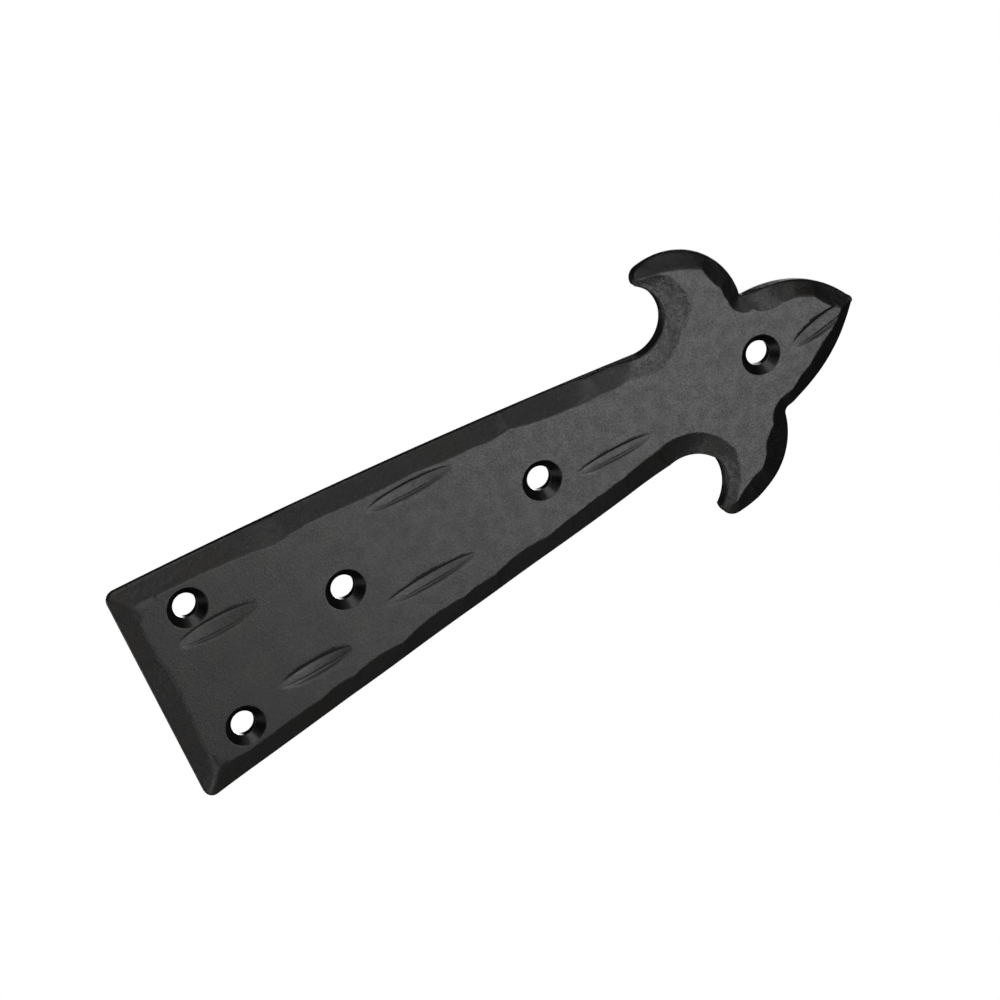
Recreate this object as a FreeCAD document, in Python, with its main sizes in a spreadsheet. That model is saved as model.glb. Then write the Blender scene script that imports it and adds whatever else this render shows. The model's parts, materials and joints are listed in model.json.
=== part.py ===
import FreeCAD, Part
import math
import os

import Sketcher
from FreeCAD import Placement, Rotation, Vector

# A forged strap hinge front: one tapered iron plate with a neck, two curled barbs
# and a spear point.  Its back is flat, its front is hammered down to a thin edge
# all round, six chisel dents mark the front, and five countersunk holes take the
# screws.  Millimetres.
#
# The plate is drawn lying flat: X runs along the strap from the butt end to the
# point, Y runs across it, and Z rises from the back face to the front face.  The
# body's placement then stands the plate up as it hangs on a door: the origin is on
# the back face midway between the two screw holes at the butt end, the back face
# lies in the plane Y = 0, the front faces -Y, and the upper edge is at +Z.

NODE = "hinge_front"

# Driving dimensions that belong to the whole plate.
PLATE = {
    "overall_length": 152.0,
    "thickness": 3.0,
    "edge_height": 0.85,
    "butt_bevel": 3.7,
    "point_bevel": 3.0,
    "butt_corner_radius": 2.0,
    "butt_lean": 0.25,
    "point_setback": 0.47,
    "point_half": 0.85,
    "point_radius": 1.0,
}

# The two edges of the outline.  "x" is measured from the butt end and "half" from
# the centre line, away from it.  They differ a little, as on any forged piece.
UPPER_EDGE = {
    "butt_half": 22.8,
    "neck_x": 108.3, "neck_half": 11.95,
    "bend_x": 116.4, "bend_half": 17.65,
    "heel_x": 113.6, "heel_half": 24.95,
    "crown_x": 115.5, "crown_half": 27.7,
    "notch_in_x": 131.95, "notch_in_half": 13.2,
    "notch_out_x": 132.5, "notch_out_half": 11.75,
    "taper_radius": 1350.0,
    "throat_radius": 7.2,
    "hook_radius": 7.35,
    "barb_tip_radius": 2.4,
    "back_radius": 14.05,
    "notch_radius": 0.8,
    "spear_radius": 22.1,
    "taper_bevel": 3.8,
    "throat_bevel": 4.2,
    "hook_bevel": 4.0,
    "barb_tip_bevel": 3.2,
    "back_bevel": 2.9,
    "notch_bevel": 2.8,
    "spear_bevel": 3.3,
}
LOWER_EDGE = {
    "butt_half": 24.1,
    "neck_x": 106.6, "neck_half": 11.85,
    "bend_x": 115.3, "bend_half": 15.3,
    "heel_x": 112.25, "heel_half": 24.0,
    "crown_x": 115.2, "crown_half": 27.55,
    "notch_in_x": 131.35, "notch_in_half": 14.8,
    "notch_out_x": 132.8, "notch_out_half": 13.3,
    "throat_radius": 7.7,
    "hook_radius": 8.8,
    "barb_tip_radius": 3.3,
    "back_radius": 14.9,
    "notch_radius": 1.4,
    "spear_radius": 30.6,
    "taper_bevel": 4.5,
    "throat_bevel": 4.8,
    "hook_bevel": 4.1,
    "barb_tip_bevel": 4.0,
    "back_bevel": 4.5,
    "notch_bevel": 3.2,
    "spear_bevel": 3.2,
}

# Screw holes, for countersunk wood screws.
HOLES = {
    "hole_diameter": 4.8,
    "sink_diameter": 7.8,
    "sink_angle": 90.0,
    "pair_x": 12.3,
    "pair_half": 13.45,
    "second_x": 40.0, "second_y": 0.65,
    "third_x": 82.2, "third_y": 0.0,
    "fourth_x": 130.6, "fourth_y": 0.0,
}

# Chisel dents, each a shallow lens-shaped cut in the front: where its middle is,
# how far it turns from the strap's direction in degrees, and its half length.
DENT_DEPTH = 0.5
DENT_HALF_WIDTH = 1.75
DENT_TOOL_RISE = 1.5
DENTS = {
    "dent_a": (16.0, 7.7, -2.0, 8.0),
    "dent_b": (28.5, -10.5, 2.0, 8.0),
    "dent_c": (58.0, 12.1, 0.0, 9.0),
    "dent_d": (55.5, -6.7, 3.0, 9.5),
    "dent_e": (97.0, -2.7, -1.0, 8.0),
    "dent_f": (143.6, -0.4, 8.0, 6.3),
}

# The walk along one edge, from the butt end to the point.  Each stretch goes from
# its corner to the next one: its name, the way it curves, and the number of
# hammer blows that flatten it when it curves outwards.  A stretch without a radius
# is straight.
OUTWARD = 1
INWARD = -1
EDGE_WALK = [
    ("butt", "taper", OUTWARD, 4),
    ("neck", "throat", INWARD, 0),
    ("bend", "hook", INWARD, 0),
    ("heel", "barb_tip", OUTWARD, 4),
    ("crown", "back", OUTWARD, 5),
    ("notch_in", "notch", INWARD, 0),
    ("notch_out", "spear", OUTWARD, 4),
]

# How far a bevel block reaches past the face and past the edge, as a factor, how
# far neighbouring blows overlap (mm) and the extra turn of a cone's sector.
BLOCK_REACH = 1.25
BLOW_OVERLAP = 0.02
SECTOR_MARGIN = math.radians(1.0)

doc = FreeCAD.newDocument("strap_hinge_front")


def gather_cells():
    """Every driving dimension by the name of its cell."""
    gathered = {**PLATE, **HOLES}
    for prefix, values in (("upper_", UPPER_EDGE), ("lower_", LOWER_EDGE)):
        for name, value in values.items():
            gathered[prefix + name] = value
    for name, (x, y, _, _) in DENTS.items():
        gathered[f"{name}_x"] = x
        gathered[f"{name}_y"] = y
    return gathered


def make_sheet(values):
    """Write every driving dimension into a cell of its own, under its name."""
    new_sheet = doc.addObject("Spreadsheet::Sheet", "Dimensions")
    for row, (name, value) in enumerate(values.items(), start=1):
        new_sheet.set(f"A{row}", name)
        new_sheet.set(f"B{row}", str(value))
        new_sheet.setAlias(f"B{row}", name)
    doc.recompute()
    return new_sheet


def plane_of(body, role):
    """One of the body's own origin planes."""
    return next(f for f in body.Origin.OriginFeatures if f.Role == role)


def attach(feature, body, offset):
    """Lay a feature on the back face's plane, moved by the offset."""
    feature.AttachmentSupport = [(plane_of(body, "XY_Plane"), "")]
    feature.MapMode = "FlatFace"
    feature.AttachmentOffset = offset


def arc_centre(start, end, radius, curve):
    """Centre of the shorter arc; it lies right of the way there for OUTWARD."""
    chord = end - start
    height = math.sqrt(radius ** 2 - (chord.Length / 2) ** 2)
    to_right = Vector(chord.y, -chord.x, 0).normalize()
    return (start + end) / 2 + to_right * height * curve


def angle_of(vector):
    """Direction of a vector in the drawing plane, in radians."""
    return math.atan2(vector.y, vector.x)


def outline_corners():
    """Each corner of the outline: its name, its place and its two cells with signs."""
    corners = []
    for step in EDGE_WALK:
        corners.append(edge_corner("upper_", step[0], 1))
    corners.append(point_corner("upper_point", 1))
    corners.append(point_corner("lower_point", -1))
    for step in reversed(EDGE_WALK):
        corners.append(edge_corner("lower_", step[0], -1))
    return corners


def edge_corner(prefix, name, side):
    """A corner of the upper edge (side 1) or of the lower edge (side -1)."""
    half_cell = f"{prefix}{name}_half"
    if name == "butt":
        x_cell = "butt_lean"
        x_sign = -side
    else:
        x_cell = f"{prefix}{name}_x"
        x_sign = 1
    return {
        "name": prefix + name,
        "place": Vector(x_sign * sheet.get(x_cell), side * sheet.get(half_cell), 0),
        "x": (f"Dimensions.{x_cell}", x_sign),
        "y": (f"Dimensions.{half_cell}", side),
    }


def point_corner(name, side):
    """An end of the small round that blunts the spear's point."""
    x = sheet.get("overall_length") - sheet.get("point_setback")
    return {
        "name": name,
        "place": Vector(x, side * sheet.get("point_half"), 0),
        "x": ("Dimensions.overall_length - Dimensions.point_setback", 1),
        "y": ("Dimensions.point_half", side),
    }


def outline_stretches():
    """Each stretch of the outline, clockwise: its name, curve and number of blows."""
    upper = [("upper_" + name, curve, blows) for _, name, curve, blows in EDGE_WALK]
    lower = [("lower_" + name, curve, blows) for _, name, curve, blows in reversed(EDGE_WALK)]
    return upper + [("point", OUTWARD, 2)] + lower + [("butt", OUTWARD, 1)]


def radius_of(stretch_name):
    """Radius of a stretch, or None where it is straight."""
    cell = f"{stretch_name}_radius"
    return sheet.get(cell) if cell in cells else None


def bind(sketch, constraint, name, expression):
    """Add a driving constraint and tie it to its cell."""
    index = sketch.addConstraint(constraint)
    sketch.renameConstraint(index, name)
    sketch.setExpression(f"Constraints.{name}", expression)


def place_point(sketch, geometry, position, name, corner):
    """Hold a point of the sketch at its corner, measured from the origin."""
    for axis, kind in (("x", "DistanceX"), ("y", "DistanceY")):
        expression, sign = corner[axis]
        distance = abs(getattr(corner["place"], axis))
        if sign > 0:
            ends = (-1, 1, geometry, position)
        else:
            ends = (geometry, position, -1, 1)
        bind(sketch, Sketcher.Constraint(kind, *ends, distance), f"{name}_{axis}", expression)


def draw_outline(body, corners, stretches):
    """The plate's outline, with each corner and each radius tied to the sheet."""
    sketch = body.newObject("Sketcher::SketchObject", "Outline")
    attach(sketch, body, Placement())
    ends = []
    for index, (name, curve, _) in enumerate(stretches):
        start = corners[index]["place"]
        end = corners[(index + 1) % len(corners)]["place"]
        radius = radius_of(name)
        if radius is None:
            sketch.addGeometry(Part.LineSegment(start, end), False)
            ends.append((index, 1, 2))
            continue
        centre = arc_centre(start, end, radius, curve)
        circle = Part.Circle(centre, Vector(0, 0, 1), radius)
        angles = [angle_of(start - centre), angle_of(end - centre)]
        if curve == OUTWARD:
            angles.reverse()
            ends.append((index, 2, 1))
        else:
            ends.append((index, 1, 2))
        sketch.addGeometry(Part.ArcOfCircle(circle, *angles), False)
    for index, (geometry, start_position, end_position) in enumerate(ends):
        next_geometry, next_position, _ = ends[(index + 1) % len(ends)]
        joint = (geometry, end_position, next_geometry, next_position)
        sketch.addConstraint(Sketcher.Constraint("Coincident", *joint))
        corner = corners[index]
        place_point(sketch, geometry, start_position, corner["name"], corner)
        name = stretches[index][0]
        if radius_of(name) is not None:
            radius = Sketcher.Constraint("Radius", geometry, radius_of(name))
            bind(sketch, radius, f"{name}_radius", f"Dimensions.{name}_radius")
    return sketch


def flat_blow(body, name, start, end, width):
    """One flat of the bevel: a tilted block that passes over a chord of the edge."""
    along = (end - start).normalize()
    outward = Vector(-along.y, along.x, 0)
    drop = sheet.get("thickness") - sheet.get("edge_height")
    tilt = math.atan2(drop, width)
    reach = BLOCK_REACH * math.hypot(width, drop)
    down_slope = outward * math.cos(tilt) - Vector(0, 0, math.sin(tilt))
    edge = Vector(0, 0, sheet.get("edge_height"))
    corner = start + edge - down_slope * reach - along * BLOW_OVERLAP
    turn = Rotation(math.degrees(angle_of(along)), 0, -math.degrees(tilt))
    block = body.newObject("PartDesign::SubtractiveBox", name)
    attach(block, body, Placement(corner, turn))
    block.Refine = False
    block.Length = (end - start).Length + 2 * BLOW_OVERLAP
    block.Width = BLOCK_REACH * reach
    block.setExpression("Height", "2 * Dimensions.thickness")


def round_blow(body, name, start, end, radius, centre, width):
    """The bevel round an inward curve: a sector of a cone that widens upwards."""
    sector = body.newObject("PartDesign::SubtractiveCone", name)
    first = angle_of(start - centre) - SECTOR_MARGIN
    sweep = (angle_of(end - centre) + SECTOR_MARGIN - first) % (2 * math.pi)
    base = centre + Vector(0, 0, sheet.get("edge_height"))
    attach(sector, body, Placement(base, Rotation(math.degrees(first), 0, 0)))
    sector.Refine = False
    sector.Angle = math.degrees(sweep)
    sector.Radius1 = radius
    sector.Radius2 = radius + 2 * width
    sector.setExpression("Height", "2 * (Dimensions.thickness - Dimensions.edge_height)")


def bevel_stretch(body, start, end, stretch):
    """Bevel one stretch of the outline."""
    name, curve, blows = stretch
    radius = radius_of(name)
    width = sheet.get(f"{name}_bevel")
    if radius is None:
        flat_blow(body, f"bevel_{name}", start, end, width)
        return
    centre = arc_centre(start, end, radius, curve)
    if curve == INWARD:
        round_blow(body, f"bevel_{name}", start, end, radius, centre, width)
        return
    first = angle_of(start - centre)
    sweep = (first - angle_of(end - centre)) % (2 * math.pi)
    for blow in range(blows):
        points = []
        for step in (blow, blow + 1):
            angle = first - sweep * step / blows
            points.append(centre + Vector(math.cos(angle), math.sin(angle), 0) * radius)
        flat_blow(body, f"bevel_{name}_{blow + 1}", *points, width)


def cut_dent(body, name, values):
    """A lens-shaped chisel dent: the foot of an ellipsoid held above the face."""
    x, y, turn, half_length = values
    height = DENT_DEPTH + DENT_TOOL_RISE
    spread = math.sqrt(1 - (DENT_TOOL_RISE / height) ** 2)
    base = Vector(x, y, sheet.get("thickness") + DENT_TOOL_RISE)
    tool = body.newObject("PartDesign::SubtractiveEllipsoid", name)
    lying = Rotation(Vector(0, 1, 0), -90)
    attach(tool, body, Placement(base, Rotation(turn, 0, 0) * lying))
    tool.setExpression("AttachmentOffset.Base.x", f"Dimensions.{name}_x")
    tool.setExpression("AttachmentOffset.Base.y", f"Dimensions.{name}_y")
    tool.Refine = False
    tool.Radius1 = half_length / spread
    tool.Radius2 = height
    tool.Radius3 = DENT_HALF_WIDTH / spread


def drill_holes(body):
    """Five through holes, countersunk from the front."""
    sketch = body.newObject("Sketcher::SketchObject", "HoleCentres")
    attach(sketch, body, Placement(Vector(0, 0, sheet.get("thickness")), Rotation()))
    sketch.setExpression("AttachmentOffset.Base.z", "Dimensions.thickness")
    centres = [
        ("upper_pair", "pair_x", "pair_half", 1),
        ("lower_pair", "pair_x", "pair_half", -1),
        ("second", "second_x", "second_y", 1),
        ("third", "third_x", "third_y", 1),
        ("fourth", "fourth_x", "fourth_y", 1),
    ]
    for index, (name, x_cell, y_cell, side) in enumerate(centres):
        centre = Vector(sheet.get(x_cell), side * sheet.get(y_cell), 0)
        radius = sheet.get("hole_diameter") / 2
        sketch.addGeometry(Part.Circle(centre, Vector(0, 0, 1), radius), False)
        corner = {
            "place": centre,
            "x": (f"Dimensions.{x_cell}", 1),
            "y": (f"Dimensions.{y_cell}", side),
        }
        place_point(sketch, index, 3, name, corner)
        size = Sketcher.Constraint("Diameter", index, 2 * radius)
        bind(sketch, size, f"{name}_diameter", "Dimensions.hole_diameter")
    doc.recompute()
    hole = body.newObject("PartDesign::Hole", "ScrewHoles")
    hole.Profile = sketch
    hole.DepthType = "ThroughAll"
    hole.ThreadType = "None"
    hole.HoleCutType = "Countersink"
    hole.HoleCutCustomValues = True
    hole.setExpression("Diameter", "Dimensions.hole_diameter")
    hole.setExpression("HoleCutDiameter", "Dimensions.sink_diameter")
    hole.setExpression("HoleCutCountersinkAngle", "Dimensions.sink_angle")
    return hole


def butt_corners(shape):
    """Names of the two upright edges at the butt end."""
    names = []
    for index, edge in enumerate(shape.Edges):
        box = edge.BoundBox
        if box.ZLength > sheet.get("thickness") / 2 and box.XMax < 1.0:
            names.append(f"Edge{index + 1}")
    return names


def make_plate():
    """The whole hinge front as one body."""
    body = doc.addObject("PartDesign::Body", NODE)
    body.Label = NODE
    corners = outline_corners()
    stretches = outline_stretches()

    pad = body.newObject("PartDesign::Pad", "Plate")
    pad.Profile = draw_outline(body, corners, stretches)
    pad.setExpression("Length", "Dimensions.thickness")
    doc.recompute()

    rounding = body.newObject("PartDesign::Fillet", "ButtCorners")
    rounding.Base = (pad, butt_corners(pad.Shape))
    rounding.setExpression("Radius", "Dimensions.butt_corner_radius")
    doc.recompute()

    for index, stretch in enumerate(stretches):
        start = corners[index]["place"]
        end = corners[(index + 1) % len(corners)]["place"]
        bevel_stretch(body, start, end, stretch)
    for name, values in DENTS.items():
        cut_dent(body, name, values)
    doc.recompute()
    drill_holes(body)

    body.Placement = Placement(Vector(-sheet.get("pair_x"), 0, 0), Rotation(Vector(1, 0, 0), 90))
    return body


def check(body):
    """Stop before anything is written if a feature failed or cut nothing."""
    for item in doc.Objects:
        if "Invalid" in item.State or "Error" in item.State:
            raise RuntimeError(f"{item.Name}: {item.State}")
    if body.Shape.isNull() or not body.Shape.isValid() or len(body.Shape.Solids) != 1:
        raise RuntimeError("the plate is not one valid solid")
    previous = None
    for feature in body.Group:
        if not feature.isDerivedFrom("PartDesign::Feature"):
            continue
        volume = feature.Shape.Volume
        if previous is not None and volume > previous - 1e-4:
            raise RuntimeError(f"{feature.Name} removes nothing")
        previous = volume


cells = gather_cells()
sheet = make_sheet(cells)
plate = make_plate()
doc.recompute()
check(plate)

os.makedirs("parts", exist_ok=True)
plate.Shape.exportStep(f"parts/{NODE}.step")
box = plate.Shape.BoundBox
print(f"{NODE}: {box.XLength:.2f} x {box.YLength:.2f} x {box.ZLength:.2f} mm,",
      f"{plate.Shape.Volume:.0f} mm3")
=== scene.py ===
import json
import math

import bpy
import numpy as np
from mathutils import Matrix, Vector
from mathutils.geometry import delaunay_2d_cdt


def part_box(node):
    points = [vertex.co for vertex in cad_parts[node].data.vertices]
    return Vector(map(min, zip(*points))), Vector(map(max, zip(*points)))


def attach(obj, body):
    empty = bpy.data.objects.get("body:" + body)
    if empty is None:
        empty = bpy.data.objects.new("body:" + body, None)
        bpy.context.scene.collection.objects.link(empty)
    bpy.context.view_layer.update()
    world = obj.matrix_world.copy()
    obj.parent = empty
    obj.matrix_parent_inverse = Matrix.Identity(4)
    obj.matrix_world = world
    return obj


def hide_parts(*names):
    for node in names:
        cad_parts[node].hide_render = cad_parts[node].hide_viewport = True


# A forged strap hinge front in satin black.  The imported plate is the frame; this
# script puts one finer mesh in its place, with every hammer blow of the bevelled edge,
# the chisel dents, the countersinks and the uneven forged surface, and lights it softly.
#
# The plate is drawn flat, in millimetres: x runs along the strap from the butt end, y
# up across it, and the height rises from the back face to the front.  In the frame that
# is +X, +Z and -Y, with the origin between the pair of screw holes at the butt end.

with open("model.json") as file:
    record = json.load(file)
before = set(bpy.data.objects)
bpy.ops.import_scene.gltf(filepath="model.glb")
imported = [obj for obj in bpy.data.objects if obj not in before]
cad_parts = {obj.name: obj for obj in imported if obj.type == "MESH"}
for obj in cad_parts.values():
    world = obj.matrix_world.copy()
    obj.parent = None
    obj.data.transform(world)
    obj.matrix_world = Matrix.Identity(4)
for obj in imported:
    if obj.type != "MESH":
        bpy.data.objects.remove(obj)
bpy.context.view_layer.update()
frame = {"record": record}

PLATE_NODE = "hinge_front"
MM = 0.001
# How far the origin is from the butt end, in millimetres.
SETBACK = 12.3
low_corner, high_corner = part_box(PLATE_NODE)
THICKNESS = (high_corner.y - low_corner.y) / MM
# Higher, or farther, than anything on the plate.
FAR = 99.0

# ---------------------------------------------------------------- the plate's shape

# The outline, clockwise from the butt end's upper corner.  Each stretch has the point
# where it ends, its radius (above 0 it bulges out of the plate, below 0 it curls in,
# and 0 is straight), how hollow its bevel is (1 is flat), and its hammer blows.  A blow
# is the share of the stretch at which it ends, the width of the bevel in its middle
# and at its end, and the height of the rim that it leaves.  A first blow that ends at
# share 0 starts the stretch afresh, over the end of the stretch before.
OUTLINE_START = (1.89, 22.67)
OUTLINE = [
    ("upper_taper", (108.3, 12.1), 1300.0, 1.0, [
        (0.165, 3.65, 3.75, 0.85),
        (0.250, 4.10, 4.30, 1.10),
        (0.312, 4.75, 4.25, 1.25),
        (0.383, 3.80, 3.75, 0.75),
        (0.560, 3.85, 3.30, 0.90),
        (0.668, 3.75, 3.60, 0.95),
        (0.739, 3.75, 3.00, 0.90),
        (0.875, 4.05, 4.20, 0.75),
        (0.918, 4.40, 3.90, 1.85),
        (0.968, 4.05, 3.50, 1.65),
        (1.000, 3.70, 3.90, 2.60),
    ]),
    ("upper_throat", (116.3, 17.75), -7.2, 1.5, [
        (0.45, 4.50, 4.00, 2.60),
        (1.00, 3.70, 1.50, 2.60),
    ]),
    ("upper_hook", (113.35, 24.9), -7.3, 1.6, [
        (0.00, 5.60, 5.60, 2.65),
        (0.70, 5.00, 3.70, 2.65),
        (1.00, 2.90, 2.20, 2.50),
    ]),
    ("upper_tip", (115.35, 27.7), 2.3, 1.0, [
        (1.00, 2.30, 2.20, 2.35),
    ]),
    ("upper_back", (131.75, 13.1), 14.05, 1.0, [
        (0.20, 2.60, 2.95, 0.85),
        (0.57, 3.05, 2.45, 0.80),
        (0.85, 3.50, 3.10, 1.00),
        (1.00, 3.40, 3.00, 1.25),
    ]),
    ("upper_notch", (132.5, 11.95), -0.8, 1.0, [
        (1.00, 3.00, 2.80, 1.45),
    ]),
    ("upper_spear", (151.53, 0.85), 22.1, 1.1, [
        (0.295, 4.50, 3.80, 2.30),
        (0.449, 3.45, 2.90, 1.50),
        (0.646, 2.80, 2.45, 0.80),
        (1.000, 3.25, 2.90, 0.65),
    ]),
    ("point", (151.53, -0.85), 1.0, 1.0, [
        (1.00, 2.70, 2.80, 1.30),
    ]),
    ("lower_spear", (132.8, -13.3), 30.6, 1.0, [
        (0.25, 3.20, 3.30, 0.90),
        (0.63, 4.10, 3.80, 0.80),
        (0.91, 3.90, 3.20, 0.75),
        (1.00, 3.30, 3.30, 1.05),
    ]),
    ("lower_notch", (131.35, -14.8), -1.4, 1.0, [
        (1.00, 3.50, 3.60, 1.05),
    ]),
    ("lower_back", (115.2, -27.55), 14.9, 1.0, [
        (0.350, 5.45, 5.05, 0.95),
        (0.557, 4.90, 4.70, 0.90),
        (0.780, 5.15, 4.80, 0.80),
        (1.000, 4.35, 3.00, 1.15),
    ]),
    ("lower_tip", (112.25, -24.0), 3.3, 1.0, [
        (1.00, 2.85, 2.20, 2.00),
    ]),
    ("lower_hook", (115.3, -15.2), -8.8, 1.45, [
        (0.55, 2.40, 2.80, 2.65),
        (1.00, 3.20, 3.60, 2.65),
    ]),
    ("lower_throat", (106.6, -11.7), -7.7, 1.3, [
        (0.40, 4.05, 4.50, 2.15),
        (1.00, 5.00, 5.30, 1.40),
    ]),
    ("lower_taper", (2.455, -23.846), 0.0, 1.0, [
        (0.092, 5.10, 4.70, 0.85),
        (0.265, 4.60, 4.10, 1.15),
        (0.380, 4.75, 4.00, 0.90),
        (0.447, 4.40, 4.10, 0.90),
        (0.582, 4.80, 3.80, 0.75),
        (0.687, 4.70, 4.25, 0.90),
        (0.755, 4.75, 4.35, 0.80),
        (0.909, 4.60, 4.50, 0.90),
        (1.000, 5.10, 5.30, 0.90),
    ]),
    ("butt_lower_corner", (0.226, -21.88), 2.0, 1.0, [
        (1.00, 4.60, 4.00, 1.20),
    ]),
    ("butt", (-0.227, 20.655), 0.0, 1.0, [
        (0.24, 3.75, 3.50, 0.90),
        (0.44, 3.75, 4.00, 0.90),
        (0.70, 4.10, 3.30, 1.00),
        (0.79, 3.45, 3.30, 0.95),
        (1.00, 3.30, 3.50, 0.90),
    ]),
    ("butt_upper_corner", OUTLINE_START, 2.0, 1.0, [
        (1.00, 3.60, 3.70, 0.90),
    ]),
]

# Chisel dents: the middle, the turn from the strap's direction in degrees, the half
# length, the half width, the depth, the share of the half width that is wall, and how
# much deeper the dent is towards the spear's end than towards the butt end.
DENTS = [
    ((16.0, 7.4), -2.0, 8.1, 1.95, 0.20, 0.22, -0.2),
    ((28.7, -10.2), -1.0, 7.7, 1.80, 0.26, 0.36, 0.5),
    ((58.6, 12.2), -2.0, 8.9, 1.50, 0.21, 0.27, 0.0),
    ((55.2, -6.2), 0.0, 9.6, 1.40, 0.20, 0.30, 0.1),
    ((97.0, -2.8), -2.0, 8.1, 1.30, 0.17, 0.33, -0.1),
    ((144.0, -0.7), 8.0, 6.9, 1.80, 0.27, 0.26, 0.3),
]
# How quickly a dent grows shallower towards its ends.
DENT_FADE = 1.25

# Across a dent, in widths of its wall from its rim: the share of its depth there.  The
# chisel bit deepest at the foot of the wall.
DENT_STEPS = (0.0, 1.0, 1.8)
DENT_SHARES = (0.0, 1.45, 1.0)
# The rings of mesh points down a dent's wall, in the same widths.  They stop short of its
# tips, and the plain grid of points stops this far inside and outside them, as shares of
# the half width.
DENT_RINGS = (0.0, 0.33, 0.66, 1.0, 1.4, 1.8)
DENT_TIP = 0.15
DENT_GAP_INSIDE = 0.05
DENT_GAP_OUTSIDE = 0.07

# Countersunk screw holes.  Their places come from the record's bore mounts, and the
# first ring of points is the hole itself.
SINK_RADIUS = 3.98
SINK_ROUNDING = 0.05
RING_RADII = (2.4, 2.46, 2.7, 3.1, 3.5, 3.8, 3.9, 3.97, 4.04, 4.13, 4.28)
RING_STEPS = 96

# The marks that the paint follows: how softly they start, how far the pale painted highlight
# reaches from an edge, and how strong it is on the crease above a bevel compared with the
# rim.
MARK_FADE = 0.30
HIGHLIGHT_REACH = 0.28
CREASE_HIGHLIGHT = 0.3

# Rounding of the rim, in steps of so many degrees, and of the back's corner.
RIM_ROUND = 0.30
RIM_ANGLES = (20, 40, 60, 90)
BACK_ROUND = 0.15

# The side wall's rings, as shares of its height, and how deeply it is dimpled.
WALL_SHARES = (0.66, 0.33, 0.0)
WALL_DIMPLE = 0.03
WALL_PITCH = 2.5
WALL_SEED = 8
WALL_SHIFT = 9.0

# The mesh's steps: along the outline with the fewest to a stretch, over the bevels and
# dents, over the plain face as a multiple of that, and over the back.  The fine grid
# reaches this far past a bevel, and the back's grid stays this far inside its edge.
OUTLINE_STEP = 0.35
FEWEST_STEPS = 3
FINE_STEP = 0.22
COARSE_EVERY = 3
FINE_MARGIN = 1.0
BACK_STEP = 3.0
BACK_MARGIN = 1.0

# How often the directions into the plate are evened out along the outline, and how many
# of its points are passed over for each one that bounds the grids.
INWARD_PASSES = 2
OUTLINE_SKIP = 3

# For the triangles: keep only those inside the loops, join points that are this close in
# millimetres, and drop those whose middle is nearer to a hole's than this share of its
# radius.
INSIDE_ONLY = 1
JOIN_DISTANCE = 1e-6
HOLE_SHARE = 0.999

# The least number that anything is divided by.
TINY = 1e-9

# How often the creases are softened, and how often near the butt end's two corners.
SMOOTH_PASSES = 1
CORNER_PASSES = 30
CORNER_REACH = 7.5

# A face is shaded flat when its normal points this squarely out of the back.
FLAT_BACK = 0.999

# How far the bevels' inner edge wanders, and how much the hammered face rolls, each with
# the length of its waves.
RAGGED = 0.05
RAGGED_PITCH = 3.2
RAGGED_SEED = 5
ROLL = 0.022
ROLL_PITCH = 11.0
ROLL_SEED = 3

# How many sine waves make up an uneven surface, and how their lengths spread.
WAVE_COUNT = 7
WAVE_SPREAD = (0.7, 1.6)


def arc_centre(start, end, radius):
    """Centre of the shorter arc: right of the way there for a radius above 0."""
    chord = end - start
    length = np.linalg.norm(chord)
    to_right = np.array([chord[1], -chord[0]]) / length
    height = math.sqrt(radius ** 2 - (length / 2) ** 2)
    return (start + end) / 2 + to_right * math.copysign(height, radius)


def build_stretches():
    """Each stretch with its start, centre, first angle, sweep and ridge values."""
    stretches = []
    start = np.array(OUTLINE_START)
    ridge_width = OUTLINE[-1][4][-1][2]
    rims = [blow[3] for entry in OUTLINE for blow in entry[4]]
    blow_index = 0
    for name, end, radius, hollow, blows in OUTLINE:
        end = np.array(end)
        stretch = {"name": name, "start": start, "end": end, "radius": radius}
        stretch["hollow"] = hollow
        fresh = blows[0][0] == 0
        if fresh:
            ridge_width = blows[0][2]
            blow_index += 1
            blows = blows[1:]
        if radius:
            centre = arc_centre(start, end, radius)
            first = math.atan2(*(start - centre)[::-1])
            last = math.atan2(*(end - centre)[::-1])
            turn = -math.copysign(1, radius)
            stretch.update(centre=centre, first=first, turn=turn)
            stretch["sweep"] = ((last - first) * turn) % (2 * math.pi)
            stretch["length"] = stretch["sweep"] * abs(radius)
        else:
            stretch["length"] = np.linalg.norm(end - start)
        stretch["shares"] = [0.0] + [blow[0] for blow in blows]
        stretch["widths"] = [ridge_width] + [blow[2] for blow in blows]
        stretch["middle_widths"] = [blow[1] for blow in blows]
        stretch["middle_rims"] = [blow[3] for blow in blows]
        around = range(blow_index - 1, blow_index + len(blows))
        stretch["rims"] = [(rims[i] + rims[(i + 1) % len(rims)]) / 2 for i in around]
        if fresh:
            stretch["rims"][0] = rims[blow_index - 1]
        stretches.append(stretch)
        ridge_width = blows[-1][2]
        blow_index += len(blows)
        start = end
    return stretches


def place_on(stretch, share):
    """The point at a share of a stretch, and the direction into the plate there."""
    start, end = stretch["start"], stretch["end"]
    if not stretch["radius"]:
        along = (end - start) / stretch["length"]
        return start + (end - start) * share, np.array([along[1], -along[0]])
    angle = stretch["first"] + stretch["turn"] * stretch["sweep"] * share
    outward = np.array([math.cos(angle), math.sin(angle)])
    place = stretch["centre"] + outward * abs(stretch["radius"])
    return place, -outward * math.copysign(1, stretch["radius"])


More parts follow.
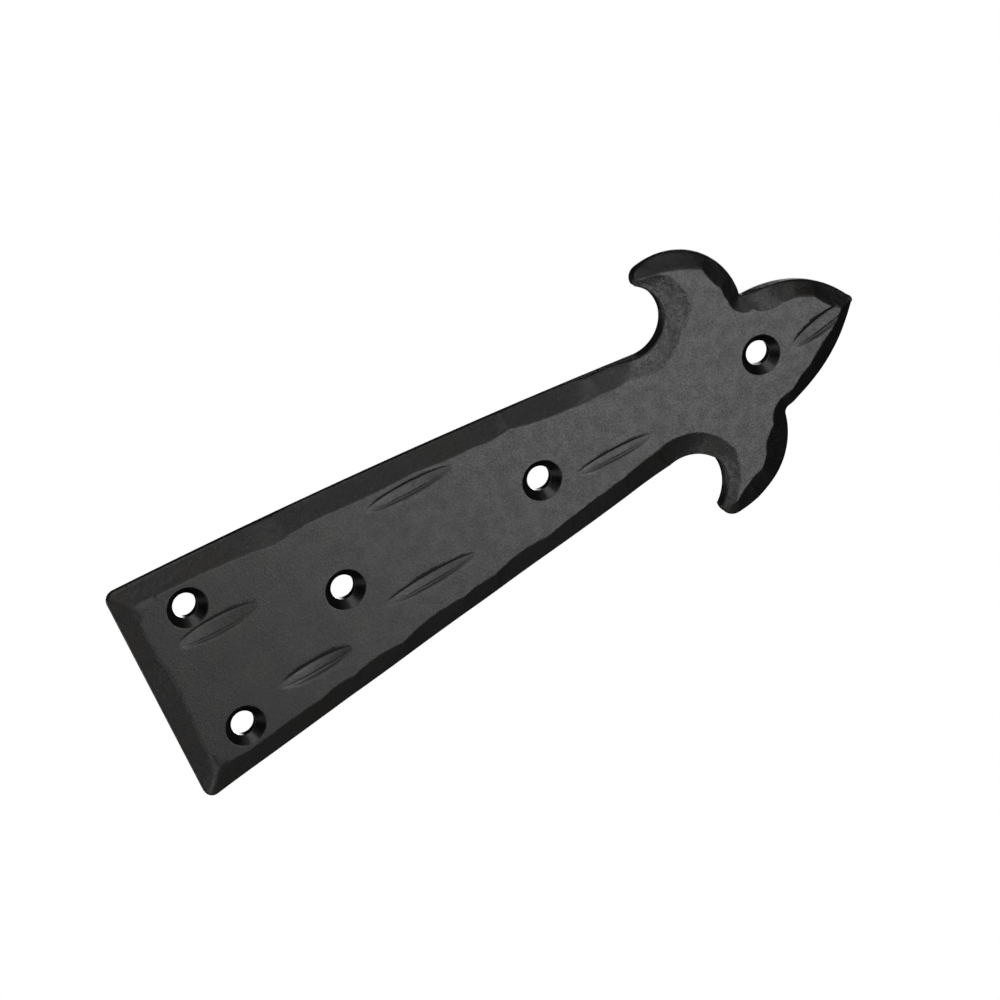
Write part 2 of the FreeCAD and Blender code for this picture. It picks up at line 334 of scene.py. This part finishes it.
def nearest_on(stretch, points):
    """Distance from each point to a stretch, and the share at which it is nearest."""
    start, end = stretch["start"], stretch["end"]
    if not stretch["radius"]:
        along = end - start
        share = np.clip((points - start) @ along / (along @ along), 0, 1)
        return np.linalg.norm(points - start - share[:, None] * along, axis=1), share
    offset = points - stretch["centre"]
    angle = np.arctan2(offset[:, 1], offset[:, 0])
    share = ((angle - stretch["first"]) * stretch["turn"]) % (2 * math.pi) / stretch["sweep"]
    distance = np.abs(np.linalg.norm(offset, axis=1) - abs(stretch["radius"]))
    to_start = np.linalg.norm(points - start, axis=1)
    to_end = np.linalg.norm(points - end, axis=1)
    past = share > 1
    distance = np.where(past, np.minimum(to_start, to_end), distance)
    share = np.where(past, np.where(to_start < to_end, 0.0, 1.0), share)
    return distance, share


def along_blows(stretch, share, ridges, middles):
    """A value along a stretch: it bows from ridge to ridge through each blow's own."""
    shares = np.array(stretch["shares"])
    blow = np.clip(np.searchsorted(shares, share, side="right") - 1, 0, len(middles) - 1)
    step = (share - shares[blow]) / (shares[blow + 1] - shares[blow])
    before = np.array(ridges)[blow]
    after = np.array(ridges)[blow + 1]
    bow = np.array(middles)[blow] - (before + after) / 2
    return before + (after - before) * step + 4 * step * (1 - step) * bow


def bevel_heights(points):
    """Bevels' height over each point, and its distance from the edge and from a bevel."""
    height = np.full(len(points), FAR)
    edge = np.full(len(points), FAR)
    band = np.full(len(points), FAR)
    ragged = RAGGED * waves(points, RAGGED_PITCH, RAGGED_SEED)
    for stretch in STRETCHES:
        distance, share = nearest_on(stretch, points)
        width = along_blows(stretch, share, stretch["widths"], stretch["middle_widths"])
        width = width + ragged
        rim = along_blows(stretch, share, stretch["rims"], stretch["middle_rims"])
        rise = (distance / width) ** stretch["hollow"]
        height = np.minimum(height, rim + (THICKNESS - rim) * rise)
        edge = np.minimum(edge, distance)
        band = np.minimum(band, distance - width)
    return height, edge, band


def dent_axes(turn):
    """Unit directions along and across a dent that is turned by so many degrees."""
    cosine, sine = math.cos(math.radians(turn)), math.sin(math.radians(turn))
    return np.array([cosine, sine]), np.array([-sine, cosine])


def dent_heights(points):
    """Height of the chisel dents' floors over each point; high outside them."""
    height = np.full(len(points), FAR)
    for middle, turn, half_length, half_width, depth, wall_share, skew in DENTS:
        way, side = dent_axes(turn)
        offset = points - np.array(middle)
        along = (offset @ way) / half_length
        across = (offset @ side) / half_width
        room = np.clip(1 - along ** 2, 0, None)
        inside = np.abs(across) < np.sqrt(room)
        lean = np.abs(across) / np.sqrt(np.maximum(room, TINY))
        wall = np.interp((1 - lean) / wall_share, DENT_STEPS, DENT_SHARES)
        floor = THICKNESS - depth * room ** DENT_FADE * (1 + skew * along) * wall
        height = np.where(inside, np.minimum(height, floor), height)
    return height


def dent_rings():
    """Points round every dent's rim and down its wall."""
    rings = []
    for middle, turn, half_length, half_width, _, wall_share, _ in DENTS:
        way, side = dent_axes(turn)
        steps = round(4 * half_length / FINE_STEP)
        angles = np.arange(steps) * 2 * math.pi / steps
        for ring in DENT_RINGS:
            share = 1 - ring * wall_share
            along = np.cos(angles)[:, None] * way * half_length
            across = np.sin(angles)[:, None] * side * half_width * share
            keep = np.abs(np.sin(angles)) > DENT_TIP
            rings.append((np.array(middle) + along + across)[keep])
    return rings


def in_dent_walls(points):
    """Which points lie where a dent's rings already mesh its wall."""
    inside = np.zeros(len(points), bool)
    for middle, turn, half_length, half_width, _, wall_share, _ in DENTS:
        way, side = dent_axes(turn)
        offset = points - np.array(middle)
        room = 1 - ((offset @ way) / half_length) ** 2
        lean = np.abs(offset @ side) / half_width / np.sqrt(np.maximum(room, TINY))
        foot = 1 - DENT_RINGS[-1] * wall_share
        in_ring = (lean > foot - DENT_GAP_INSIDE) & (lean < 1 + DENT_GAP_OUTSIDE)
        inside |= in_ring & (room > DENT_TIP ** 2)
    return inside


def sink_heights(points):
    """Height of the countersinks' cones over each point, rounded at their rims."""
    height = np.full(len(points), FAR)
    for hole in HOLES:
        radius = np.linalg.norm(points - hole, axis=1)
        cone = THICKNESS - (SINK_RADIUS - radius)
        height = np.minimum(height, cone)
    blend = np.sqrt((height - THICKNESS) ** 2 + SINK_ROUNDING ** 2)
    return (height + THICKNESS - blend) / 2


def waves(points, length, seed):
    """A smooth uneven surface between -1 and 1 whose swells are about this long."""
    chance = np.random.default_rng(seed)
    total = np.zeros(len(points))
    for _ in range(WAVE_COUNT):
        direction = chance.uniform(0, math.pi)
        pitch = length * chance.uniform(*WAVE_SPREAD)
        phase = chance.uniform(0, 2 * math.pi)
        way = np.array([math.cos(direction), math.sin(direction)])
        total += np.sin(points @ way * (2 * math.pi / pitch) + phase)
    return total / WAVE_COUNT


def front_heights(points):
    """Height of the front before its creases are softened, and distance from the edge."""
    bevel, edge, _ = bevel_heights(points)
    face = np.minimum(THICKNESS, dent_heights(points))
    uneven = ROLL * (waves(points, ROLL_PITCH, ROLL_SEED) - 1)
    return np.minimum(np.minimum(bevel, face + uneven), sink_heights(points)), edge


def round_rim(height, edge):
    """Round the rim over into the side wall."""
    left = np.clip(1 - edge / RIM_ROUND, 0, 1)
    return height - RIM_ROUND * (1 - np.sqrt(1 - left ** 2))


def outline_loop():
    """Points round the outline and the direction into the plate at each."""
    places, inwards = [], []
    for stretch in STRETCHES:
        steps = max(FEWEST_STEPS, round(stretch["length"] / OUTLINE_STEP))
        for step in range(steps):
            place, inward = place_on(stretch, step / steps)
            places.append(place)
            inwards.append(inward)
    inwards = np.array(inwards)
    for _ in range(INWARD_PASSES):
        inwards = inwards + 0.5 * (np.roll(inwards, 1, axis=0) + np.roll(inwards, -1, axis=0))
        inwards /= np.linalg.norm(inwards, axis=1)[:, None]
    return np.array(places), inwards


def inside_polygon(points, polygon):
    """Which points lie inside a closed polygon."""
    inside = np.zeros(len(points), bool)
    x, y = points[:, 0], points[:, 1]
    for start, end in zip(polygon, np.roll(polygon, -1, axis=0)):
        crosses = (start[1] > y) != (end[1] > y)
        if start[1] != end[1]:
            at = start[0] + (y - start[1]) / (end[1] - start[1]) * (end[0] - start[0])
            inside ^= crosses & (x < at)
    return inside


def grid_points(step, polygon):
    """A grid of equal triangles over the plate, with its row and column numbers."""
    low, high = polygon.min(axis=0), polygon.max(axis=0)
    rows = np.arange(low[1], high[1], step * math.sqrt(3) / 2)
    columns = np.arange(low[0], high[0], step)
    row, column = np.meshgrid(np.arange(len(rows)), np.arange(len(columns)), indexing="ij")
    x = columns[column] + (row % 2) * step / 2
    points = np.stack([x.ravel(), rows[row].ravel()], axis=1)
    keep = inside_polygon(points, polygon)
    return points[keep], row.ravel()[keep], column.ravel()[keep]


def hole_rings(radii):
    """Rings of points round every hole, one ring for each radius."""
    angles = np.arange(RING_STEPS) * 2 * math.pi / RING_STEPS
    circle = np.stack([np.cos(angles), np.sin(angles)], axis=1)
    return [[hole + circle * radius for radius in radii] for hole in HOLES]


def loop_edges(first, count):
    """Edges that close a loop of points."""
    return [(first + i, first + (i + 1) % count) for i in range(count)]


def triangulate(loops, points):
    """Triangles inside the first loop and outside the others, through all the points."""
    flat = [tuple(p) for loop in loops for p in loop] + [tuple(p) for p in points]
    edges = []
    first = 0
    for loop in loops:
        edges += loop_edges(first, len(loop))
        first += len(loop)
    spots = [Vector(p) for p in flat]
    result = delaunay_2d_cdt(spots, edges, [], INSIDE_ONLY, JOIN_DISTANCE)
    places, faces, origins = np.array([tuple(v) for v in result[0]]), result[2], result[3]
    if len(places) != len(flat) or any(o != [i] for i, o in enumerate(origins)):
        raise RuntimeError("two points of the mesh fell together")
    faces = np.array([tuple(face) for face in faces])
    middles = places[faces].mean(axis=1)
    keep = np.ones(len(faces), bool)
    for hole, loop in zip(HOLES, loops[1:]):
        radius = np.linalg.norm(loop[0] - hole)
        keep &= np.linalg.norm(middles - hole, axis=1) > radius * HOLE_SHARE
    return places, faces[keep]


def soften(heights, faces, free, passes):
    """Average each free point's height with its neighbours', which rounds the creases."""
    pairs = np.concatenate([faces[:, [0, 1]], faces[:, [1, 2]], faces[:, [2, 0]]])
    pairs = pairs[free[pairs].any(axis=1)]
    for _ in range(passes):
        total = np.zeros(len(heights))
        count = np.zeros(len(heights))
        for one, other in ((0, 1), (1, 0)):
            np.add.at(total, pairs[:, one], heights[pairs[:, other]])
            np.add.at(count, pairs[:, one], 1)
        mean = total / np.maximum(count, 1)
        heights = np.where(free, (heights + mean) / 2, heights)
    return heights


def surface_marks(points):
    """How far each point is hammered rough, in a countersink that gets painted shade, and
    under the pale painted edge highlight.
    """
    flat, height = points[:, :2], points[:, 2]
    _, edge, band = bevel_heights(flat)
    on_front = height > BACK_ROUND
    rough = np.where(on_front, np.clip(0.5 - band / MARK_FADE, 0, 1), 1.0)
    from_hole = np.min([np.linalg.norm(flat - hole, axis=1) for hole in HOLES], axis=0)
    # The countersinks: painted shade in the colour, and a glossier coat.
    sink = np.clip(0.5 + (SINK_RADIUS - from_hole) / MARK_FADE, 0, 1)
    sink = np.where(on_front | (from_hole < RING_RADII[0] + 0.5 * BACK_ROUND), sink, 0)
    # A painted highlight on the rim and, fainter, along the crease above each bevel.
    edge_highlight = np.exp(-(edge / HIGHLIGHT_REACH) ** 2)
    edge_highlight += CREASE_HIGHLIGHT * np.exp(-(band / HIGHLIGHT_REACH) ** 2)
    return {"rough": rough, "sink": sink, "edge_highlight": np.clip(edge_highlight, 0, 1) * on_front}


def strip(first, second, turned):
    """Faces between two loops of points with the same count."""
    after_first = np.roll(first, -1)
    after_second = np.roll(second, -1)
    quads = np.stack([first, after_first, after_second, second], axis=1)
    return quads[:, ::-1] if turned else quads


def build_plate():
    """The whole plate as one closed mesh."""
    outline, inwards = outline_loop()
    rim_rings = []
    for angle in RIM_ANGLES:
        inset = RIM_ROUND * (1 - math.cos(math.radians(angle)))
        rim_rings.append(outline + inwards * inset)
    rings = hole_rings(RING_RADII)

    fine, row, column = grid_points(FINE_STEP, outline[::OUTLINE_SKIP])
    _, edge, band = bevel_heights(fine)
    near = band < FINE_MARGIN
    near |= dent_heights(fine) < FAR
    for hole in HOLES:
        from_hole = np.linalg.norm(fine - hole, axis=1)
        near |= from_hole < RING_RADII[-1] + FINE_MARGIN
        edge = np.where(from_hole < RING_RADII[-1] + FINE_STEP / 2, 0, edge)
    coarse = (row % (2 * COARSE_EVERY) == 0) & (column % COARSE_EVERY == 0)
    coarse |= (row % (2 * COARSE_EVERY) == COARSE_EVERY) & (column % COARSE_EVERY == 1)
    fine = fine[(near | coarse) & (edge > RIM_ROUND + FINE_STEP / 2) & ~in_dent_walls(fine)]
    walls = np.concatenate(dent_rings())
    walls = walls[bevel_heights(walls)[1] > RIM_ROUND + FINE_STEP / 2]

    loops = [outline] + [ring[0] for ring in rings]
    others = rim_rings + [loop for ring in rings for loop in ring[1:]] + [walls]
    fixed = sum(len(loop) for loop in loops + others[:-1])
    flat, front_faces = triangulate(loops, np.concatenate(others + [fine]))
    heights, edge = front_heights(flat)
    free = np.arange(len(flat)) >= fixed
    heights = soften(heights, front_faces, free, SMOOTH_PASSES)
    for corner in (s for s in STRETCHES if s["name"].endswith("corner")):
        in_corner = np.linalg.norm(flat - corner["end"], axis=1) < CORNER_REACH
        heights = soften(heights, front_faces, free & in_corner, CORNER_PASSES)
    heights = round_rim(heights, edge)

    vertices = [np.column_stack([flat, heights])]
    faces = [front_faces]
    count = len(flat)

    def add_loop(places, height):
        nonlocal count
        vertices.append(np.column_stack([places, np.broadcast_to(height, len(places))]))
        count += len(places)
        return np.arange(count - len(places), count)

    # The side wall, from the rim down to the rounded corner of the back.
    top = np.arange(len(outline))
    top_heights = heights[top]
    previous = top
    for share in WALL_SHARES:
        height = BACK_ROUND + (top_heights - BACK_ROUND) * share
        dimples = waves(outline + [0, WALL_SHIFT * share], WALL_PITCH, WALL_SEED)
        dip = WALL_DIMPLE * (1 + dimples) * (share > 0)
        loop = add_loop(outline + inwards * dip[:, None], height)
        faces.append(strip(previous, loop, False))
        previous = loop
    back_outline = outline + inwards * BACK_ROUND
    outer = add_loop(back_outline, 0.0)
    faces.append(strip(previous, outer, False))

    # The holes' walls.
    back_loops = [back_outline]
    back_index = [outer]
    first = len(outline)
    for hole, ring in zip(HOLES, rings):
        top = np.arange(first, first + RING_STEPS)
        first += RING_STEPS
        middle = add_loop(ring[0], BACK_ROUND)
        wide = hole + (ring[0] - hole) * (1 + BACK_ROUND / RING_RADII[0])
        bottom = add_loop(wide, 0.0)
        faces.append(strip(top, middle, True))
        faces.append(strip(middle, bottom, True))
        back_loops.append(wide)
        back_index.append(bottom)

    # The back.
    grid, _, _ = grid_points(BACK_STEP, back_outline[::OUTLINE_SKIP])
    _, edge, _ = bevel_heights(grid)
    for hole in HOLES:
        edge = np.where(np.linalg.norm(grid - hole, axis=1) < SINK_RADIUS, 0, edge)
    grid = grid[edge > BACK_MARGIN]
    flat, back_faces = triangulate(back_loops, grid)
    inner = add_loop(flat[sum(len(loop) for loop in back_loops):], 0.0)
    index = np.concatenate(back_index + [inner])
    faces.append(index[back_faces[:, ::-1]])

    return np.concatenate(vertices), faces


def make_object(name, vertices, face_groups):
    """A mesh object in the frame from the plate's own millimetres."""
    x, y, height = vertices.T
    places = np.column_stack([x - SETBACK, -height, y]) * MM
    places = np.clip(places, np.array(low_corner), np.array(high_corner))
    faces = [face for group in face_groups for face in group.tolist()]
    mesh = bpy.data.meshes.new(name)
    mesh.from_pydata(places.tolist(), [], faces)
    mesh.validate()
    mesh.update()
    mesh.shade_smooth()
    for polygon in mesh.polygons:
        polygon.use_smooth = polygon.normal.y < FLAT_BACK
    for mark, values in surface_marks(vertices).items():
        mesh.attributes.new(mark, "FLOAT", "POINT").data.foreach_set("value", values)
    thing = bpy.data.objects.new(name, mesh)
    bpy.context.scene.collection.objects.link(thing)
    return thing


STRETCHES = build_stretches()
HOLES = [
    np.array([mount["pos_m"][0] / MM + SETBACK, mount["pos_m"][2] / MM])
    for mount in frame["record"]["mounts"]
    if mount["kind"] == "bore"
]

plate = make_object("forged_plate", *build_plate())

# ---------------------------------------------------------------- materials


class Bench:
    """Builds one node material: every call adds a node and gives its output back."""

    def __init__(self, name):
        self.material = bpy.data.materials.new(name)
        self.material.use_nodes = True
        self.tree = self.material.node_tree
        self.tree.nodes.clear()
        self.output = self.tree.nodes.new("ShaderNodeOutputMaterial")

    def node(self, kind, **settings):
        """A new node with its settings."""
        node = self.tree.nodes.new("ShaderNode" + kind)
        for name, value in settings.items():
            setattr(node, name, value)
        return node

    def plug(self, socket, value):
        """Feed a socket from another node's output, or set it to a value."""
        if isinstance(value, bpy.types.NodeSocket):
            self.tree.links.new(value, socket)
        else:
            socket.default_value = value

    def place(self):
        """The point on the object, in metres."""
        return self.node("TexCoord").outputs["Object"]

    def mark(self, name):
        """One of the marks that the mesh carries."""
        return self.node("Attribute", attribute_name=name).outputs["Fac"]

    def noise(self, size, detail, shift):
        """Noise from 0 to 1, mostly near 0.5, with spots of this size in millimetres."""
        moved = self.node("VectorMath", operation="ADD")
        self.plug(moved.inputs[0], self.place())
        self.plug(moved.inputs[1], (shift, shift, shift))
        node = self.node("TexNoise")
        self.plug(node.inputs["Vector"], moved.outputs["Vector"])
        self.plug(node.inputs["Scale"], 1 / (size * MM))
        self.plug(node.inputs["Detail"], detail)
        return node.outputs["Fac"]

    def spread(self, value, low, high, to_low, to_high):
        """A value between low and high, spread over another range and held there."""
        node = self.node("MapRange", interpolation_type="SMOOTHSTEP")
        self.plug(node.inputs["Value"], value)
        self.plug(node.inputs["From Min"], low)
        self.plug(node.inputs["From Max"], high)
        self.plug(node.inputs["To Min"], to_low)
        self.plug(node.inputs["To Max"], to_high)
        return node.outputs["Result"]

    def spread_even(self, noise, size):
        """Noise as relief of this size about a level of zero."""
        return self.combine("MULTIPLY", self.combine("SUBTRACT", noise, 0.5), size)

    def combine(self, operation, one, other):
        """Two numbers put together: ADD, MULTIPLY, MAXIMUM and so on."""
        node = self.node("Math", operation=operation)
        self.plug(node.inputs[0], one)
        self.plug(node.inputs[1], other)
        return node.outputs["Value"]

    def blend(self, share, one, other):
        """One colour at share 0, the other at share 1."""
        node = self.node("Mix", data_type="RGBA")
        self.plug(node.inputs["Factor"], share)
        self.plug(node.inputs["A"], one)
        self.plug(node.inputs["B"], other)
        return node.outputs["Result"]


# Paint colours, as linear light.
PAINT = (0.0125, 0.0127, 0.0131, 1)
WARM_PAINT = (0.0190, 0.0182, 0.0140, 1)
BROWN_PAINT = (0.0175, 0.0150, 0.0130, 1)
# Painted shade that darkens the countersinks.
SINK_PAINTED_SHADE = (0.0040, 0.0040, 0.0040, 1)
# A pale painted highlight along the edges and creases.
EDGE_HIGHLIGHT_PAINT = (0.0350, 0.0345, 0.0340, 1)

# Each noise: the size of its spots in millimetres, its detail, and a shift in metres
# that keeps it from lining up with the others.
GRAIN = (0.42, 2.0, 0.0)
SPECKLE = (0.75, 2.0, 0.3)
BLOTCH = (2.6, 2.0, 0.7)
PATCH = (7.0, 1.0, 1.1)
LUMP = (1.5, 2.0, 1.9)
PIT = (0.6, 2.0, 2.7)

# Warm and brown patches start and end at these noise values.  They are strongest at the
# butt end, up to the first place along the strap, and fade until the second.
PATCH_RANGE = (0.50, 0.64)
BUTT_RANGE = (-0.010, 0.060)
BUTT_REST = 0.1
BROWN_AT_BUTT = 0.6
BROWN_IN_PATCH = 0.8

# The speckle values at which the pale painted edge highlight starts and ends to show, and how
# much it shows.
HIGHLIGHT_RANGE = (0.52, 0.72)
HIGHLIGHT_SHARE = 0.5

# Roughness of the coat in its grain, and what the blotches, the hammered places and the
# countersinks add to it.
GRAIN_ROUGHNESS = (0.30, 0.38)
GRAIN_RANGE = (0.30, 0.70)
BLOTCH_ROUGHNESS = (-0.02, 0.02)
BLOTCH_RANGE = (0.35, 0.65)
RUGGED_ROUGHNESS = 0.03
SINK_ROUGHNESS = -0.06

# Relief, in micrometres, and how much of the grain's relief is left in a countersink.
MICROMETRE = 1e-6
GRAIN_RELIEF = 13.0
SPECKLE_RELIEF = 10.0
LUMP_RELIEF = 120.0
PIT_RELIEF = -28.0
PIT_RANGE = (0.28, 0.42)
SINK_RELIEF_SHARE = 0.15


def black_iron():
    """Satin black powder coat over hammered iron: grained and mottled, with a pale painted
    highlight on its edges and painted shade in its countersinks.
    """
    bench = Bench("satin_black_iron")
    rugged, sink, edge_highlight = bench.mark("rough"), bench.mark("sink"), bench.mark("edge_highlight")
    grain = bench.noise(*GRAIN)
    speckle = bench.noise(*SPECKLE)
    blotch = bench.noise(*BLOTCH)
    patch = bench.noise(*PATCH)

    # Warm patches gather at the butt end and thin out along the strap.
    along = bench.node("SeparateXYZ")
    bench.plug(along.inputs["Vector"], bench.place())
    butt = bench.spread(along.outputs["X"], *BUTT_RANGE, 1.0, BUTT_REST)
    warm = bench.combine("MULTIPLY", bench.spread(patch, *PATCH_RANGE, 0.0, 1.0), butt)
    colour = bench.blend(warm, PAINT, WARM_PAINT)

    # The hammered places are browner there and in their own patches.
    browned = bench.combine("MULTIPLY", butt, BROWN_AT_BUTT)
    brown_patch = bench.spread(patch, *PATCH_RANGE, 0.0, BROWN_IN_PATCH)
    browned = bench.combine("MAXIMUM", browned, brown_patch)
    browned = bench.combine("MULTIPLY", browned, rugged)
    colour = bench.blend(browned, colour, BROWN_PAINT)

    # Edges get a pale painted highlight in spots, and the countersinks get painted shade, the
    # darkest paint.
    highlighted = bench.spread(speckle, *HIGHLIGHT_RANGE, 0.0, HIGHLIGHT_SHARE)
    highlighted = bench.combine("MULTIPLY", edge_highlight, highlighted)
    colour = bench.blend(highlighted, colour, EDGE_HIGHLIGHT_PAINT)
    colour = bench.blend(sink, colour, SINK_PAINTED_SHADE)

    # The gloss changes with the grain and blotches, and is highest in the countersinks.
    rough = bench.spread(grain, *GRAIN_RANGE, *GRAIN_ROUGHNESS)
    extras = (
        bench.spread(blotch, *BLOTCH_RANGE, *BLOTCH_ROUGHNESS),
        bench.spread(rugged, 0.0, 1.0, 0.0, RUGGED_ROUGHNESS),
        bench.spread(sink, 0.0, 1.0, 0.0, SINK_ROUGHNESS),
    )
    for extra in extras:
        rough = bench.combine("ADD", rough, extra)

    # Fine grain all over, with pits and lumps in the hammered places and on the back.
    relief = bench.spread_even(grain, GRAIN_RELIEF)
    relief = bench.combine("ADD", relief, bench.spread_even(speckle, SPECKLE_RELIEF))
    kept = bench.spread(sink, 0.0, 1.0, 1.0, SINK_RELIEF_SHARE)
    relief = bench.combine("MULTIPLY", relief, kept)
    lumps = bench.spread_even(bench.noise(*LUMP), LUMP_RELIEF)
    pits = bench.spread(bench.noise(*PIT), *PIT_RANGE, PIT_RELIEF, 0.0)
    hammered = bench.combine("MULTIPLY", bench.combine("ADD", lumps, pits), rugged)
    relief = bench.combine("ADD", relief, hammered)
    bump = bench.node("Bump")
    bench.plug(bump.inputs["Height"], relief)
    bench.plug(bump.inputs["Distance"], MICROMETRE)

    shader = bench.node("BsdfPrincipled")
    bench.plug(shader.inputs["Base Color"], colour)
    bench.plug(shader.inputs["Roughness"], rough)
    bench.plug(shader.inputs["Normal"], bump.outputs["Normal"])
    bench.plug(bench.output.inputs["Surface"], shader.outputs["BSDF"])
    return bench.material


plate.data.materials.append(black_iron())
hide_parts(PLATE_NODE)
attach(plate, "root")

# ---------------------------------------------------------------- floor, light, camera

# How far the floor is below the plate, and half its width, in metres.
FLOOR_DROP = 0.12
FLOOR_REACH = 40.0
WHITE = (1, 1, 1, 1)
# How strongly the white surroundings light the plate.
ROOM_STRENGTH = 0.01


def make_floor():
    """A plain white floor well below the plate."""
    bench = Bench("white_floor")
    glow = bench.node("Emission")
    bench.plug(glow.inputs["Color"], WHITE)
    bench.plug(bench.output.inputs["Surface"], glow.outputs["Emission"])
    height = low_corner.z - FLOOR_DROP
    signs = ((-1, -1), (1, -1), (1, 1), (-1, 1))
    corners = [(x * FLOOR_REACH, y * FLOOR_REACH, height) for x, y in signs]
    mesh = bpy.data.meshes.new("floor")
    mesh.from_pydata(corners, [], [(0, 1, 2, 3)])
    mesh.materials.append(bench.material)
    floor = bpy.data.objects.new("floor", mesh)
    bpy.context.scene.collection.objects.link(floor)
    floor.visible_diffuse = False
    floor.visible_glossy = False


def make_world():
    """White behind everything, and a dim even light for the plate."""
    world = bpy.data.worlds.new("studio")
    bpy.context.scene.world = world
    world.use_nodes = True
    nodes, links = world.node_tree.nodes, world.node_tree.links
    nodes.clear()
    output = nodes.new("ShaderNodeOutputWorld")
    mix = nodes.new("ShaderNodeMixShader")
    path = nodes.new("ShaderNodeLightPath")
    room = nodes.new("ShaderNodeBackground")
    room.inputs["Color"].default_value = WHITE
    room.inputs["Strength"].default_value = ROOM_STRENGTH
    backdrop = nodes.new("ShaderNodeBackground")
    backdrop.inputs["Color"].default_value = WHITE
    links.new(path.outputs["Is Camera Ray"], mix.inputs["Fac"])
    links.new(room.outputs["Background"], mix.inputs[1])
    links.new(backdrop.outputs["Background"], mix.inputs[2])
    links.new(mix.outputs["Shader"], output.inputs["Surface"])


# Round softboxes in front of the plate, and three behind it that light its back: the
# direction from the plate's middle as (along the strap, out of the back, up), the
# softbox's width in metres and its power in watts.  The ones behind stay low or far to
# the side, so that they don't glint along the side walls that the camera sees.
LIGHT_DISTANCE = 1.5
SOFTBOXES = {
    "front_high": ((0.15, -0.98, 0.15), 0.84, 1.8),
    "front": ((-0.15, -0.98, -0.10), 0.84, 1.7),
    "front_right": ((0.30, -0.93, -0.20), 0.60, 2.1),
    "low_right": ((0.28, -0.86, -0.41), 0.50, 2.8),
    "low": ((0.10, -0.70, -0.70), 0.60, 0.15),
    "low_left": ((-0.35, -0.65, -0.65), 0.84, 2.8),
    "left": ((-0.64, -0.77, 0.0), 0.84, 0.6),
    "far_low": ((0.10, -0.30, -0.95), 1.00, 0.4),
    "far_left": ((-0.80, -0.40, -0.30), 0.80, 1.0),
    "high_right": ((0.66, -0.72, 0.20), 0.84, 1.9),
    "high_left": ((-0.40, -0.77, 0.50), 0.84, 1.7),
    "top": ((0.0, -0.50, 0.84), 1.00, 4.3),
    "top_right": ((0.50, -0.60, 0.60), 0.84, 0.8),
    "back_left": ((-0.90, 0.45, -0.20), 1.20, 6.0),
    "back": ((0.25, 0.93, -0.28), 0.60, 5.0),
    "back_right": ((0.60, 0.80, -0.15), 1.20, 6.0),
}


def soft_light(name, direction, width, power):
    """A round softbox that faces the middle of the plate."""
    middle = (low_corner + high_corner) / 2
    lamp = bpy.data.lights.new(name, "AREA")
    lamp.shape = "DISK"
    lamp.size = width
    lamp.energy = power
    thing = bpy.data.objects.new(name, lamp)
    place = middle + Vector(direction).normalized() * LIGHT_DISTANCE
    thing.location = place
    thing.rotation_euler = (middle - place).to_track_quat("-Z", "Y").to_euler()
    bpy.context.scene.collection.objects.link(thing)


# The camera: its place in metres, the directions of its right and its top, and its lens
# and sensor width in millimetres.
CAMERA_PLACE = (-0.09420, -0.70408, 0.35775)
CAMERA_RIGHT = Vector((0.8509, -0.3755, -0.3675))
CAMERA_UP = Vector((0.4884, 0.3075, 0.8166))
LENS = 155.98
SENSOR_WIDTH = 36.0


def make_camera():
    """The camera, at the angle from which the plate is seen."""
    data = bpy.data.cameras.new("camera")
    data.lens = LENS
    data.sensor_width = SENSOR_WIDTH
    camera = bpy.data.objects.new("camera", data)
    turn = Matrix((CAMERA_RIGHT, CAMERA_UP, CAMERA_RIGHT.cross(CAMERA_UP))).transposed()
    camera.matrix_world = Matrix.Translation(CAMERA_PLACE) @ turn.to_4x4()
    bpy.context.scene.collection.objects.link(camera)
    bpy.context.scene.camera = camera


make_floor()
make_world()
make_camera()
for name, (direction, width, power) in SOFTBOXES.items():
    soft_light(name, direction, width, power)
bpy.context.scene.view_settings.view_transform = "Standard"
